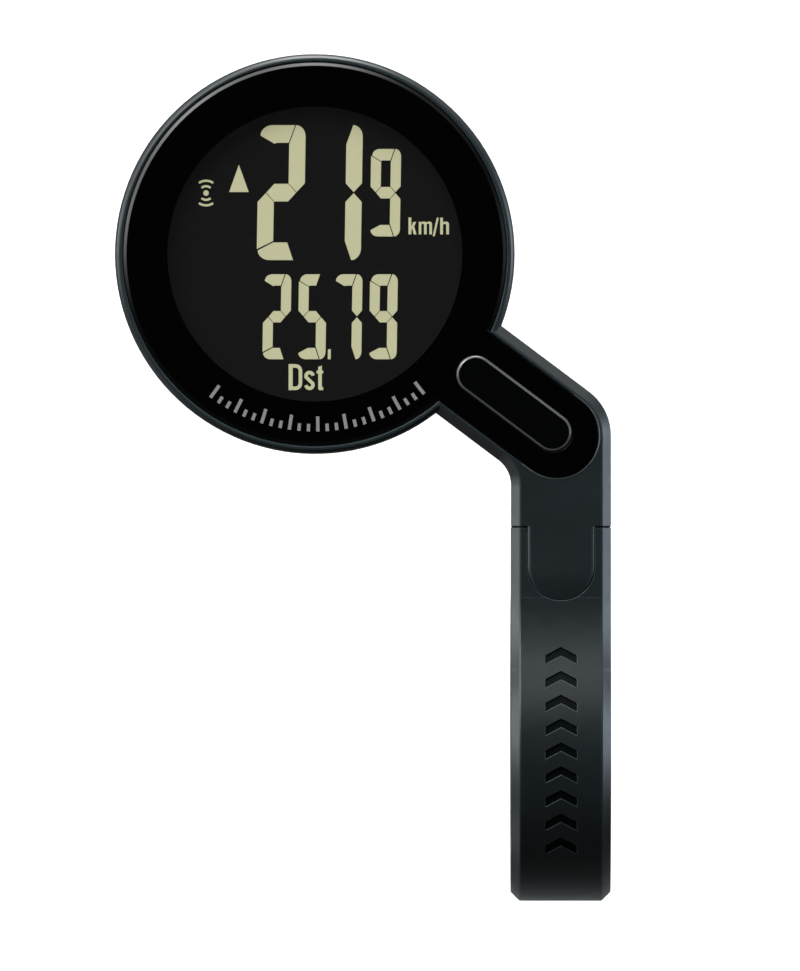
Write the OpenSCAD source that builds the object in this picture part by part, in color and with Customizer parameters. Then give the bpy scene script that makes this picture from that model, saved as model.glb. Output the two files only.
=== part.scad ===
// Cycling computer: a round display unit on a bent arm, with a hinged handlebar clamp under its tail.
// X runs along the handlebar, Y points forwards and Z points up through the display.
// The origin is on the handlebar's axis, in the middle of the clamp band. All sizes are in millimetres.

/* [Display unit] */
// Radius of the round part of the case
disc_r = 24; // [24:0.05:24.2]
// Height of the case's top face above the handlebar's axis
case_top = 15; // [15:0.1:15.5]
// Wall thickness of the case
wall = 1.5; // [1.4:0.05:1.5]
// Radius of the clear lens over the display
lens_r = 23; // [22.9:0.05:23]
// Radius of the window in the black print behind the lens
window_r = 17.7; // [17:0.1:17.9]

/* [Arm] */
// Width of the slanting part that holds the front button
diag_w = 13.1; // [13:0.1:13.4]
// Distance from the middle of the display to the elbow
diag_len = 36.25; // [36:0.05:37]
// Distance from the handlebar's axis forwards to the elbow
elbow_y = 37.05; // [37:0.05:38]
// Width of the arm and of the clamp band
arm_w = 12; // [12:0.1:12.4]
// Half-width of the lens over the slanting part
lens_half = 5.05; // [4.9:0.05:5.05]

/* [Buttons] */
// Half-width of the front button
key_half = 2.3; // [2.2:0.05:2.3]
// Travel of the front button
key_travel = 0.5; // [0.3:0.1:0.5]
// Travel of the two rear buttons
rear_travel = 0.4; // [0.2:0.1:0.4]

/* [Clamp] */
// Radius of the handlebar that the clamp holds
bar_r = 15.9; // [15.85:0.05:15.95]
// Thickness of the rubber pads
pad_t = 0.9; // [0.8:0.05:0.95]
// Outer radius of the clamp band
band_r = 19; // [19:0.05:19.1]
// Distance from the handlebar's axis forwards to the clamp bolt
bolt_y = 21.5; // [21.4:0.05:21.6]

/* [Hidden] */
$fn = 96;

// Colours
case_grey = "#23292b";
plastic_black = "#111214";
rubber_black = "#1b1b1c";
steel = "silver";
board_green = "#1d5a3a";

// Bevels: a 45 degree face, with a narrow softer face between it and the top
edge_bevel = 1;
rim_bevel = 0.25;
rim_steep_w = 0.2;
rim_steep_h = 0.4;
soft_w = 0.15;
soft_drop = soft_w * tan(22.5);

// Places across the display and the arm. The slanting part falls by 3 for every 4 across
diag_angle = atan2(3, 4);
elbow_x = (arm_w - diag_w) / 2;
disc_x = elbow_x - diag_len * cos(diag_angle);
disc_y = elbow_y + diag_len * sin(diag_angle);
arm_start = 26.15;
arm_z = 9.7;
web_r = 3.8;

// Heights through the display unit, from the lens down
lens_top = case_top + 0.2;
lens_z = case_top - 1;
mask_z = lens_z - 0.1;
ceiling_z = mask_z - 0.8;
polarizer_z = ceiling_z - 0.3;
front_glass_z = polarizer_z - 0.6;
rear_glass_z = front_glass_z - 0.6;
reflector_z = rear_glass_z - 0.2;
board_top = reflector_z - 1.5;
board_z = board_top - 0.8;
parting_z = board_z - 1.1;
rear_top = parting_z - 0.3;
battery_top = board_z - 0.6;
battery_z = battery_top - 3.2;
door_top = battery_z - 0.1;
rear_z = door_top - 2.2;
floor_z = rear_z + 1.4;

// Inner fits
lens_gap = 0.08;
lens_bevel_w = 0.4;
lens_bevel_h = 0.3;
opening_bevel = 0.1;
lcd_r = 18.3;
holder_r = 19;
board_r = disc_r - 1.8;
lip_inset = wall + 0.1;
rim_inset = 2.4;
ledge_half = 8.4;
ledge_y = 20.2;
strip_y = 19.4;

// Case screws
post_ring = 20.7;
post_r = 1.3;
elbow_post_at = 4;
case_screw_r = 0.8;
case_head_r = 1.55;
case_head_z = rear_z + 0.3;
post_places = concat(
    [for (a = [30, 130, 230]) [disc_x + post_ring * cos(a), disc_y + post_ring * sin(a)]],
    [[elbow_x + elbow_post_at * cos(diag_angle), elbow_y - elbow_post_at * sin(diag_angle)]]
);

// Front button: the two ends of its slot, along the slanting part
key_from = 24.1;
key_to = 35.65;
stem_at = 30;
key_top = lens_top + 0.1;
flange_top = mask_z - 0.1;
flange_z = flange_top - 0.8;
front_switch_h = 1.7;
rear_switch_h = 1.65;
switch_gap = 0.05;
stem_z = board_top + front_switch_h + switch_gap + key_travel;

// Rear buttons: [angle around the display, cap radius, depth of the cap below the rear face]
menu_place = [200, 2.5, 0.1];
ac_place = [160, 1.3, 0.4];
rear_key_ring = 16.9;
rear_stem_top = board_z - rear_switch_h - switch_gap - rear_travel;
rear_stem_r = 1;

// Battery bay and its bayonet door
well_r = 12.9;
battery_r = 10;
bay_r = 10.3;
plug_r = 10.8;
flange_r = 12.6;
lug_r = 11.6;
lug_angle = 25;
lug_z = door_top - 0.6;
door_turn = 45;

// Clamp
bore_r = bar_r + pad_t;
block_top = case_top - 0.2;
block_front = 25.95;
upper_split = 7.2;
lower_split = 6.3;
blend_r = 20;
blend_z = block_top + blend_r + 0.005;
blend_y = round(1000 * sqrt(pow(band_r + blend_r - 0.015, 2) - pow(blend_z, 2))) / 1000;
blend_top = 16.95;
groove_depth = 0.25;
band_from = atan2(4, 3);
tongue_half = 4;
tongue_y = 21.3;
tongue_z = case_top - 2.5;
tab_end = 30.4;
tab_top = arm_z - 0.1;
arm_screw_y = 28.3;
arm_screw_x = 3;
ear_z = 0.8;
nut_z = 9.9;
nut_across = 5.5;
head_z = ear_z;
washer_z = head_z + 3;
ear_seat_z = washer_z + 0.5;
hinge_y = -17;
hinge_z = -8.4;
knuckle_r = 1.9;
knuckle_half = 2.7;
knuckle_end = 4.9;
pin_r = 0.8;
upper_end_z = hinge_z + 0.25;
lower_end_z = hinge_z - 0.25;

// ---------- shared shapes ----------

// The outer side of a section, from its bottom edge to its top edge
function side(half, z0, z1, top = 0, bottom = 0) = concat(
    bottom > 0 ? [[half - bottom, z0], [half, z0 + bottom]] : [[half, z0]],
    top > 0
        ? [[half, z1 - top - soft_drop], [half - top, z1 - soft_drop], [half - top - soft_w, z1]]
        : [[half, z1]]
);

function mirrored(points) = [for (i = [len(points) - 1 : -1 : 0]) [-points[i].x, points[i].y]];

// A straight beam along X
module beam(length, half, z0, z1, top = 0, bottom = 0) {
    edge = side(half, z0, z1, top, bottom);
    rotate([90, 0, 90]) linear_extrude(length) polygon(concat(edge, mirrored(edge)));
}

// A round body, or a part turn of one that starts at angle -90
module puck(r, z0, z1, top = 0, bottom = 0, turn = 360) {
    rotate(-90) rotate_extrude(angle = turn)
        polygon(concat([[0, z0]], side(r, z0, z1, top, bottom), [[0, z1]]));
}

module at_disc() {
    translate([disc_x, disc_y, 0]) children();
}

module along_diag() {
    at_disc() rotate(-diag_angle) children();
}

// A slot or key shape along the slanting part
module stadium(half, z0, z1, top = 0) {
    along_diag() {
        translate([key_from, 0, 0]) beam(key_to - key_from, half, z0, z1, top);
        translate([key_from, 0, 0]) rotate(180) puck(half, z0, z1, top, turn = 180);
        translate([key_to, 0, 0]) puck(half, z0, z1, top, turn = 180);
    }
}

// The slanting part, which ends in a half round
module stick(half, z0, z1, top = 0, bottom = 0) {
    along_diag() {
        beam(diag_len, half, z0, z1, top, bottom);
        translate([diag_len, 0, 0]) puck(half, z0, z1, top, bottom, turn = 180);
    }
}

// The plan of the display unit: a disc with its slanting part
module plan_solid(r, half, z0, z1, bottom = 0) {
    at_disc() puck(r, z0, z1, 0, bottom);
    stick(half, z0, z1, 0, bottom);
}

module case_solid(inset, z0, z1, bottom = 0) {
    plan_solid(disc_r - inset, diag_w / 2 - inset, z0, z1, bottom);
}

// A rod along the handlebar's axis
module rod_x(r, x0, x1) {
    translate([x0, 0, 0]) rotate([0, 90, 0]) cylinder(r = r, h = x1 - x0);
}

// A turned shape about the handlebar's direction. Angles go from forwards towards up
module turned_x(from, to) {
    rotate([90, 0, 90]) rotate(from) rotate_extrude(angle = to - from) children();
}

module hex_rod(across, z0, z1) {
    translate([0, 0, z0]) cylinder(d = across / cos(30), h = z1 - z0, $fn = 6);
}

module at_posts() {
    for (p = post_places) translate([p.x, p.y, 0]) children();
}

module at_rear_key(place) {
    at_disc() rotate(place[0]) translate([rear_key_ring, 0, 0]) children();
}

// ---------- case ----------

// The filled inner corner of the elbow, with the same bevel round its curve
module elbow_web() {
    cx = -arm_w / 2 - web_r;
    along = (cx - disc_x + (diag_w / 2 + web_r) * sin(diag_angle)) / cos(diag_angle);
    cy = disc_y - along * sin(diag_angle) - (diag_w / 2 + web_r) * cos(diag_angle);
    reach = web_r + 4;
    difference() {
        translate([0, 0, arm_z]) linear_extrude(case_top - arm_z)
            polygon([[cx, cy], [-3, cy], [-3, cy + 5.4],
                [cx + reach * sin(diag_angle), cy + reach * cos(diag_angle)]]);
        translate([cx, cy, 0]) rotate_extrude()
            polygon([[0, arm_z - 1], [web_r, arm_z - 1], [web_r, case_top - edge_bevel - soft_drop],
                [web_r + edge_bevel, case_top - soft_drop], [web_r + edge_bevel + soft_w, case_top],
                [web_r + edge_bevel + soft_w, case_top + 1], [0, case_top + 1]]);
    }
}

// The half-round tongue that laps over the clamp block
module tongue() {
    roll_r = 15;
    roll_y = 20.6;
    difference() {
        union() {
            translate([0, tongue_y, 0]) rotate(90)
                beam(arm_start - tongue_y + 1, tongue_half, tongue_z, case_top, 0.15);
            translate([0, tongue_y, 0]) rotate(-90)
                puck(tongue_half, tongue_z, case_top, 0.15, turn = 180);
        }
        difference() {
            translate([-5, roll_y - 5, case_top - 2]) cube([10, 5, 3]);
            translate([0, roll_y, case_top - roll_r - 0.01]) rod_x(roll_r, -6, 6);
        }
    }
}

// The round part of the case top. Its rim has a soft, a 45 degree and a steep face
module rim_disc() {
    rotate_extrude() polygon([[0, parting_z], [disc_r, parting_z],
        [disc_r, case_top - rim_bevel - rim_steep_h - soft_drop],
        [disc_r - rim_steep_w, case_top - rim_bevel - soft_drop],
        [disc_r - rim_steep_w - rim_bevel, case_top - soft_drop],
        [disc_r - rim_steep_w - rim_bevel - soft_w, case_top], [0, case_top]]);
}

// The small bevel round the opening for the lens
module opening_edge() {
    low = case_top - opening_bevel;
    high = case_top + 0.1;
    wide = high - low;
    half = lens_half + lens_gap;
    at_disc() translate([0, 0, low])
        cylinder(r1 = lens_r + lens_gap, r2 = lens_r + lens_gap + wide, h = wide);
    along_diag() rotate([90, 0, 90]) linear_extrude(diag_len)
        polygon([[-half, low], [half, low], [half + wide, high], [-half - wide, high]]);
    along_diag() translate([diag_len, 0, 0]) rotate(-90) rotate_extrude(angle = 180)
        polygon([[0, low], [half, low], [half + wide, high], [0, high]]);
}

module upper_case() {
    color(case_grey) difference() {
        union() {
            difference() {
                union() {
                    at_disc() rim_disc();
                    stick(diag_w / 2, parting_z, case_top, edge_bevel);
                    translate([0, arm_start, 0]) rotate(90)
                        beam(elbow_y - arm_start, arm_w / 2, arm_z, case_top, edge_bevel, 0.5);
                    elbow_web();
                }
                case_solid(wall, parting_z - 1, ceiling_z);
            }
            tongue();
            at_posts() translate([0, 0, board_top])
                cylinder(r = post_r, h = ceiling_z - board_top + 0.3);
            for (p = post_places) post_web(p, board_top + 0.3, ceiling_z + 0.2);
        }
        plan_solid(lens_r + lens_gap, lens_half + lens_gap, mask_z, lens_top + 1);
        opening_edge();
        at_disc() translate([0, 0, ceiling_z - 1]) cylinder(r = window_r + 0.3, h = 3);
        stadium(key_half + 0.8, ceiling_z - 1, lens_z);
        at_posts() translate([0, 0, board_top - 1])
            cylinder(r = case_screw_r, h = ceiling_z - board_top + 0.4);
        for (x = [-arm_screw_x, arm_screw_x]) translate([x, arm_screw_y, arm_z - 1])
            cylinder(r = 1, h = 4.8);
    }
}

// A thin web that joins a screw post to the wall behind it
module post_web(p, z0, z1) {
    elbow_post = p == post_places[3];
    centre = elbow_post ? [elbow_x, elbow_y] : [disc_x, disc_y];
    outer = (elbow_post ? diag_w / 2 : disc_r) - wall / 2;
    at = norm(p - centre);
    translate([centre.x, centre.y, z0]) rotate(atan2(p.y - centre.y, p.x - centre.x))
        translate([at, -0.6, 0]) cube([outer - at, 1.2, z1 - z0]);
}

module rear_case() {
    color(case_grey) difference() {
        union() {
            difference() {
                case_solid(0, rear_z, rear_top, bottom = 1.5);
                case_solid(wall, floor_z, rear_top + 1);
            }
            difference() {
                union() {
                    case_solid(1.2, rear_top - 1.5, rear_top - 0.3);
                    case_solid(lip_inset, rear_top - 1, board_z);
                }
                case_solid(rim_inset, rear_top - 2, board_z + 1);
            }
            at_disc() translate([0, 0, rear_z + 0.5])
                cylinder(r = well_r, h = board_z - 0.3 - rear_z - 0.5);
            intersection() {
                at_posts() translate([0, 0, rear_z + 0.5]) {
                    cylinder(r = post_r, h = board_z - rear_z - 0.5);
                    cylinder(r = case_head_r + 0.5, h = 1.9);
                }
                case_solid(lip_inset + 0.05, rear_z, board_z - 0.1);
            }
            for (p = post_places) post_web(p, floor_z - 0.2, rear_top - 1.2);
        }
        at_disc() {
            bay_cuts();
            rotate(90) translate([bay_r - 0.6, -2.2, floor_z + 1.2]) cube([4, 4.4, 5]);
        }
        at_posts() translate([0, 0, rear_z - 1]) {
            cylinder(r = case_screw_r + 0.06, h = 9);
            cylinder(r = case_head_r + 0.1, h = case_head_z + 1 - rear_z + 1);
        }
        at_rear_key(menu_place) rear_key_hole(menu_place);
        at_rear_key(ac_place) rear_key_hole(ac_place);
    }
}

// The stepped bore of the battery bay, with the bayonet groove and its three entries
module bay_cuts() {
    translate([0, 0, rear_z - 1]) cylinder(r = flange_r + 0.2, h = 1.9);
    translate([0, 0, rear_z]) cylinder(r = plug_r + 0.2, h = battery_z - rear_z);
    translate([0, 0, lug_z - 0.1]) cylinder(r = lug_r + 0.2, h = battery_z - lug_z + 0.1);
    translate([0, 0, battery_z - 0.1]) cylinder(r = bay_r, h = 6);
    for (a = [0, 120, 240]) rotate(a - door_turn - lug_angle / 2 - 2)
        sector(plug_r - 0.5, lug_r + 0.1, lug_angle + 4, rear_z + 0.5, lug_z);
}

// A piece of a ring
module sector(r0, r1, turn, z0, z1) {
    rotate_extrude(angle = turn) translate([r0, z0]) square([r1 - r0, z1 - z0]);
}

module rear_key_hole(place) {
    translate([0, 0, rear_z - 1]) cylinder(r = place[1] + 0.06, h = 3);
    translate([0, 0, rear_z - 1])
        rotate_extrude() polygon([[0, 0], [place[1] + 1.4, 0], [place[1] + 0.1, 1.4], [0, 1.4]]);
}

module case_seal() {
    color(rubber_black) difference() {
        case_solid(0.25, rear_top, parting_z);
        case_solid(wall - 0.05, rear_top - 1, parting_z + 1);
    }
}

// Self-tapping screws from the rear, with a cross recess cut as two slots
module case_screws() {
    color(steel) at_posts() difference() {
        union() {
            translate([0, 0, case_head_z]) cylinder(r = case_head_r, h = 1);
            translate([0, 0, case_head_z]) cylinder(r = case_screw_r, h = board_top + 2 - case_head_z);
        }
        for (a = [0, 90]) rotate(a) translate([-0.9, -0.2, case_head_z - 1]) cube([1.8, 0.4, 1.6]);
    }
}

// ---------- display ----------

module lens() {
    color("#202426", 0.5) difference() {
        union() {
            at_disc() rotate_extrude() polygon([[0, lens_z], [lens_r, lens_z],
                [lens_r, lens_top - lens_bevel_h], [lens_r - lens_bevel_w, lens_top], [0, lens_top]]);
            stick(lens_half, lens_z, lens_top);
        }
        stadium(key_half + 0.12, lens_z - 1, lens_top + 1);
    }
}

module lens_mask() {
    color("black") difference() {
        plan_solid(lens_r - 0.05, lens_half - 0.05, mask_z, lens_z);
        at_disc() translate([0, 0, mask_z - 1]) cylinder(r = window_r, h = 3);
        stadium(key_half + 0.12, mask_z - 1, lens_z + 1);
    }
}

module lcd_polarizer() {
    color("#1a1c1b") at_disc() translate([0, 0, polarizer_z]) cylinder(r = lcd_r - 0.3, h = 0.2);
}

module lcd_front_glass() {
    color("#5b625d") at_disc() translate([0, 0, front_glass_z]) cylinder(r = lcd_r, h = 0.6);
}

// The rear glass has a ledge with the contact tracks, which the front glass leaves bare
module lcd_rear_glass() {
    color("#5b625d") at_disc() intersection() {
        union() {
            translate([0, 0, rear_glass_z]) cylinder(r = lcd_r, h = 0.6);
            translate([-ledge_half, -ledge_y, rear_glass_z]) cube([2 * ledge_half, 10, 0.6]);
        }
        translate([0, 0, rear_glass_z - 1]) cylinder(r = disc_r - wall - 0.5, h = 3);
    }
}

module lcd_reflector() {
    color("#b9bdb4") at_disc() translate([0, 0, reflector_z]) cylinder(r = lcd_r, h = 0.2);
}

module lcd_holder() {
    color("#d8d8d2") at_disc() difference() {
        intersection() {
            union() {
                translate([0, 0, board_top]) cylinder(r = holder_r, h = ceiling_z - board_top);
                translate([-ledge_half - 0.8, -ledge_y - 0.8, board_top])
                    cube([2 * ledge_half + 1.6, 8, ceiling_z - board_top]);
            }
            translate([0, 0, board_top - 1]) cylinder(r = disc_r - wall - 0.2, h = 6);
        }
        translate([0, 0, board_top - 1]) cylinder(r = holder_r - 2, h = 6);
        translate([0, 0, reflector_z]) cylinder(r = lcd_r + 0.1, h = 3);
        translate([-ledge_half - 0.1, -ledge_y - 0.1, reflector_z]) cube([2 * ledge_half + 0.2, 9, 3]);
        translate([-ledge_half - 0.1, -strip_y - 0.9, board_top - 1]) cube([2 * ledge_half + 0.2, 1.8, 6]);
    }
}

module zebra_strip() {
    color("#3a3a3c") at_disc() translate([-ledge_half + 0.1, -strip_y - 0.8, board_top])
        cube([2 * ledge_half - 0.2, 1.6, rear_glass_z - board_top]);
}

// ---------- electronics ----------

module main_board() {
    color(board_green) difference() {
        union() {
            at_disc() translate([0, 0, board_z]) cylinder(r = board_r, h = board_top - board_z);
            along_diag() translate([10, -4.6, board_z]) cube([diag_len - 8.7, 9.2, board_top - board_z]);
        }
        at_posts() translate([0, 0, board_z - 1]) cylinder(r = case_screw_r + 0.25, h = 4);
    }
}

module controller_chip() {
    color(plastic_black) at_disc() translate([-4, -3, board_top]) {
        cube([7, 7, 0.9]);
        for (side = [0 : 3], i = [0 : 6]) translate([3.5, 3.5, 0]) rotate(side * 90)
            translate([3.4, i * 0.9 - 2.85, 0]) cube([0.9, 0.3, 0.2]);
    }
}

module quartz_crystal() {
    color(steel) at_disc() translate([-2, -17, board_z - 1.1]) {
        cube([4.2, 1.6, 1.1]);
        translate([0.3, 0.3, -0.1]) cube([3.6, 1, 0.2]);
    }
}

// Chip resistors and capacitors in two rows
module board_components() {
    color("#a58b62") at_disc() for (row = [-1, 1], i = [0 : 5])
        translate([i * 2.6 - 7, row * 8.2, board_top]) cube([1.6, 0.8, 0.6]);
}

module antenna_core() {
    color("#3b3b3f") at_disc() translate([0.5, 16, board_z - 1.6]) rod_x(1.15, -7.5, 7.5);
}

module antenna_coil() {
    color("#b5652d") at_disc() translate([0.5, 16, board_z - 1.6]) difference() {
        rod_x(1.5, -4.5, 4.5);
        rod_x(1.15, -5, 5);
    }
}

// A tact switch that stands on a board face. It points up, or down when flipped
module tact_switch(size, body_h, total_h) {
    color(plastic_black) {
        translate([-size / 2, -size / 2, 0]) cube([size, size, body_h]);
        translate([0, 0, body_h]) cylinder(r = size * 0.2, h = total_h - body_h);
    }
    color(steel) translate([-size / 2 - 0.5, -size / 4, 0]) cube([size + 1, size / 2, 0.15]);
}

module mode_switch() {
    along_diag() translate([stem_at, 0, board_top]) tact_switch(4.2, 1.2, front_switch_h);
}

module rear_switch(place) {
    at_rear_key(place) translate([0, 0, board_z]) mirror([0, 0, 1]) tact_switch(4.2, 1.2, rear_switch_h);
}

module menu_switch() {
    rear_switch(menu_place);
}

module ac_switch() {
    rear_switch(ac_place);
}

module battery() {
    color(steel) at_disc() rotate_extrude() polygon([[0, battery_z], [battery_r - 0.3, battery_z],
        [battery_r, battery_z + 0.3], [battery_r, battery_top - 0.5], [battery_r - 0.2, battery_top - 0.3],
        [battery_r - 1, battery_top - 0.3], [battery_r - 1.2, battery_top], [0, battery_top]]);
}

// A strip that stands beside the battery and turns out over the edge of the bay
module positive_contact() {
    color("#cdb26a") at_disc() rotate(90) {
        translate([battery_r + 0.03, -2, battery_z + 0.4]) cube([0.22, 4, board_z - battery_z - 0.4]);
        translate([battery_r + 0.03, -2, board_z - 0.25]) cube([2.4, 4, 0.25]);
    }
}

// A leaf spring that presses on the top of the battery
module negative_contact() {
    color("#cdb26a") at_disc() rotate([90, 0, 0]) translate([0, 0, -2]) linear_extrude(4)
        polygon([[-6, board_z], [-6, board_z - 0.25], [-2, board_z - 0.25], [1, battery_top],
            [4, battery_top], [4, battery_top + 0.2], [1.2, battery_top + 0.2], [-1.7, board_z]]);
}

module battery_door() {
    color(case_grey) at_disc() difference() {
        union() {
            translate([0, 0, rear_z]) cylinder(r = flange_r, h = 0.7);
            translate([0, 0, rear_z]) cylinder(r = plug_r, h = door_top - rear_z);
            for (a = [0, 120, 240]) rotate(a - lug_angle / 2)
                sector(plug_r - 0.5, lug_r, lug_angle, lug_z, door_top - 0.1);
        }
        translate([0, 0, rear_z + 0.25]) difference() {
            cylinder(r = flange_r - 0.05, h = 2);
            translate([0, 0, -1]) cylinder(r = flange_r - 0.75, h = 4);
        }
        translate([-6.5, -0.95, rear_z - 1]) cube([13, 1.9, 2]);
    }
}

module battery_door_seal() {
    color(rubber_black) at_disc() rotate_extrude()
        translate([flange_r - 0.4, rear_z + 0.56]) circle(r = 0.3, $fn = 32);
}

// ---------- buttons ----------

module mode_button() {
    color(plastic_black) {
        stadium(key_half, flange_top - 0.2, key_top, 0.15);
        stadium(key_half + 0.5, flange_z, flange_top);
        along_diag() translate([stem_at, 0, stem_z]) cylinder(r = 0.85, h = flange_z - stem_z + 0.2);
    }
}

// A silicone tray under the front button, with a hole for its stem
module mode_button_seal() {
    color(rubber_black) difference() {
        stadium(key_half + 0.95, board_top + 2.1, ceiling_z);
        stadium(key_half + 0.6, board_top + 2.45, ceiling_z + 1);
        along_diag() translate([stem_at, 0, board_top]) cylinder(r = 0.9, h = 5);
    }
}

// A rear button: cap, flange inside the case and stem up to its switch
module rear_key(place) {
    cap_z = rear_z + place[2];
    at_rear_key(place) {
        rotate_extrude() polygon([[0, cap_z], [place[1] - 0.25, cap_z], [place[1], cap_z + 0.25],
            [place[1], floor_z + 0.3], [0, floor_z + 0.3]]);
        translate([0, 0, floor_z + 0.1]) cylinder(r = place[1] + 0.6, h = 0.5);
        translate([0, 0, floor_z + 0.1]) cylinder(r = rear_stem_r, h = rear_stem_top - floor_z - 0.1);
    }
}

// A silicone cup over the flange of a rear button, with a hole for the stem
module rear_key_seal(place) {
    color(rubber_black) at_rear_key(place) rotate_extrude()
        polygon([[place[1] + 0.7, floor_z], [place[1] + 1.35, floor_z], [place[1] + 1.35, floor_z + 1.6],
            [rear_stem_r + 0.05, floor_z + 1.6], [rear_stem_r + 0.05, floor_z + 1.3],
            [place[1] + 0.7, floor_z + 1.3]]);
}

module menu_key() {
    color("#3a3e40") rear_key(menu_place);
}

module menu_key_seal() {
    rear_key_seal(menu_place);
}

module ac_key() {
    color("#3a3e40") rear_key(ac_place);
}

module ac_key_seal() {
    rear_key_seal(ac_place);
}

// ---------- clamp ----------

// The section of the band, as radius and place along the bar
function band_section(r) = [[r, -arm_w / 2], [band_r - edge_bevel - soft_drop, -arm_w / 2],
    [band_r - soft_drop, edge_bevel - arm_w / 2], [band_r, edge_bevel + soft_w - arm_w / 2],
    [band_r, arm_w / 2 - edge_bevel - soft_w], [band_r - soft_drop, arm_w / 2 - edge_bevel],
    [band_r - edge_bevel - soft_drop, arm_w / 2], [r, arm_w / 2]];

module band(from, to) {
    turned_x(from, to) polygon(band_section(bore_r));
}

// The hollow blend from the band up to the block, widened at both sides to carry the bevel on
module blend_cut() {
    half = arm_w / 2;
    wide = blend_r + edge_bevel + soft_drop;
    translate([0, blend_y, blend_z]) rotate([90, 0, 90]) rotate_extrude()
        polygon([[0, -half - 1], [wide + 1, -half - 1], [wide, -half],
            [blend_r + soft_drop, edge_bevel - half], [blend_r, edge_bevel + soft_w - half],
            [blend_r, half - edge_bevel - soft_w], [blend_r + soft_drop, half - edge_bevel],
            [wide, half], [wide + 1, half + 1], [0, half + 1]]);
}

// Nine chevron grooves along the top of the band and its blend, a plain pattern
module groove_cuts() {
    difference() {
        for (i = [0 : 8]) translate([0, i * 2.85 - 13.2, 10]) linear_extrude(10)
            polygon([[-1.9, 0], [0, 1], [1.9, 0], [1.9, 1.05], [0, 2.05], [-1.9, 1.05]]);
        rod_x(band_r - groove_depth, -10, 10);
        difference() {
            translate([-5, 8, 8]) cube([10, blend_y - 8, blend_top - 8.2]);
            translate([0, blend_y, blend_z]) rod_x(blend_r + groove_depth, -6, 6);
        }
    }
}

module hinge_rod(r, x0, x1) {
    translate([0, hinge_y, hinge_z]) rod_x(r, x0, x1);
}

module clamp_upper() {
    half = arm_w / 2;
    color(case_grey) difference() {
        union() {
            difference() {
                band(band_from, 215);
                translate([-10, -40, upper_end_z - 20]) cube([20, 40, 20]);
            }
            difference() {
                translate([-half, 8, upper_split]) cube([arm_w, blend_y - 8, blend_top - upper_split]);
                blend_cut();
            }
            translate([0, blend_y - 0.5, 0]) rotate(90)
                beam(block_front - blend_y + 0.5, half, upper_split, block_top, edge_bevel);
            translate([-half + 0.05, block_front - 2, upper_split])
                cube([arm_w - 0.1, tab_end - block_front + 2, tab_top - upper_split]);
            hinge_rod(knuckle_r, -knuckle_end, -knuckle_half - 0.2);
            hinge_rod(knuckle_r, knuckle_half + 0.2, knuckle_end);
        }
        rod_x(bore_r, -10, 10);
        tongue_pocket();
        translate([0, bolt_y, 0]) hex_rod(nut_across + 0.1, nut_z, tongue_z + 1);
        bolt_slot();
        for (x = [-arm_screw_x, arm_screw_x]) translate([x, arm_screw_y, upper_split - 1]) {
            cylinder(r = 1.15, h = 5);
            cylinder(r = 1.95, h = 2.3);
        }
        groove_cuts();
        hinge_rod(knuckle_r + 0.2, -knuckle_half - 0.1, knuckle_half + 0.1);
        hinge_rod(pin_r, -10, 10);
    }
}

module tongue_pocket() {
    half = tongue_half + 0.1;
    translate([0, tongue_y, tongue_z - 0.1]) {
        cylinder(r = half, h = 5);
        translate([-half, 0, 0]) cube([2 * half, 6, 5]);
    }
}

// The bolt's hole runs on forwards, so that the bolt can swing out once it has left the nut
module bolt_slot() {
    translate([0, bolt_y, upper_split - 1]) {
        cylinder(r = 1.7, h = 5);
        translate([-1.7, 0, 0]) cube([3.4, 2.7, nut_z - upper_split + 1]);
    }
}

module clamp_lower() {
    half = arm_w / 2;
    color(case_grey) difference() {
        union() {
            difference() {
                band(180, 380);
                translate([-10, 0, lower_split]) cube([20, 40, 20]);
                translate([-10, -40, lower_end_z]) cube([20, 40, 40]);
            }
            difference() {
                translate([0, 12, 0]) rotate(90)
                    beam(block_front - 12.15, half, ear_z, lower_split, 0, edge_bevel);
                rod_x(bore_r, -10, 10);
            }
            hinge_rod(knuckle_r, -knuckle_half, knuckle_half);
        }
        translate([0, bolt_y, ear_z - 1]) {
            cylinder(r = 1.7, h = 10);
            cylinder(r = 2.85, h = ear_seat_z - ear_z + 1);
        }
        translate([0, bolt_y, -4]) cylinder(r = 2.85, h = ear_z + 4.5);
        for (x = [-half - 1, knuckle_half + 0.1])
            hinge_rod(knuckle_r + 0.2, x, x + half - knuckle_half + 0.9);
        hinge_rod(pin_r + 0.05, -10, 10);
    }
}

module pad(from, to) {
    color(rubber_black) turned_x(from, to)
        translate([bar_r, 0.1 - arm_w / 2]) square([pad_t, arm_w - 0.2]);
}

module upper_pad() {
    pad(30, 200);
}

module lower_pad() {
    pad(213, 378);
}

module hinge_pin() {
    color(steel) hinge_rod(pin_r, 0.1 - knuckle_end, knuckle_end - 0.1);
}

module clamp_bolt() {
    color(steel) translate([0, bolt_y, 0]) difference() {
        union() {
            translate([0, 0, head_z]) cylinder(r = 2.75, h = washer_z - head_z);
            translate([0, 0, head_z + 1]) cylinder(r = 1.5, h = tongue_z - head_z - 1.2);
        }
        hex_rod(2.5, head_z - 1, head_z + 1.6);
    }
}

module bolt_washer() {
    color(steel) translate([0, bolt_y, washer_z]) difference() {
        cylinder(r = 2.75, h = ear_seat_z - washer_z);
        translate([0, 0, -1]) cylinder(r = 1.6, h = 3);
    }
}

module clamp_nut() {
    color(steel) translate([0, bolt_y, 0]) difference() {
        hex_rod(nut_across, nut_z, tongue_z - 0.15);
        translate([0, 0, nut_z - 1]) cylinder(r = 1.53, h = 5);
    }
}

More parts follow.
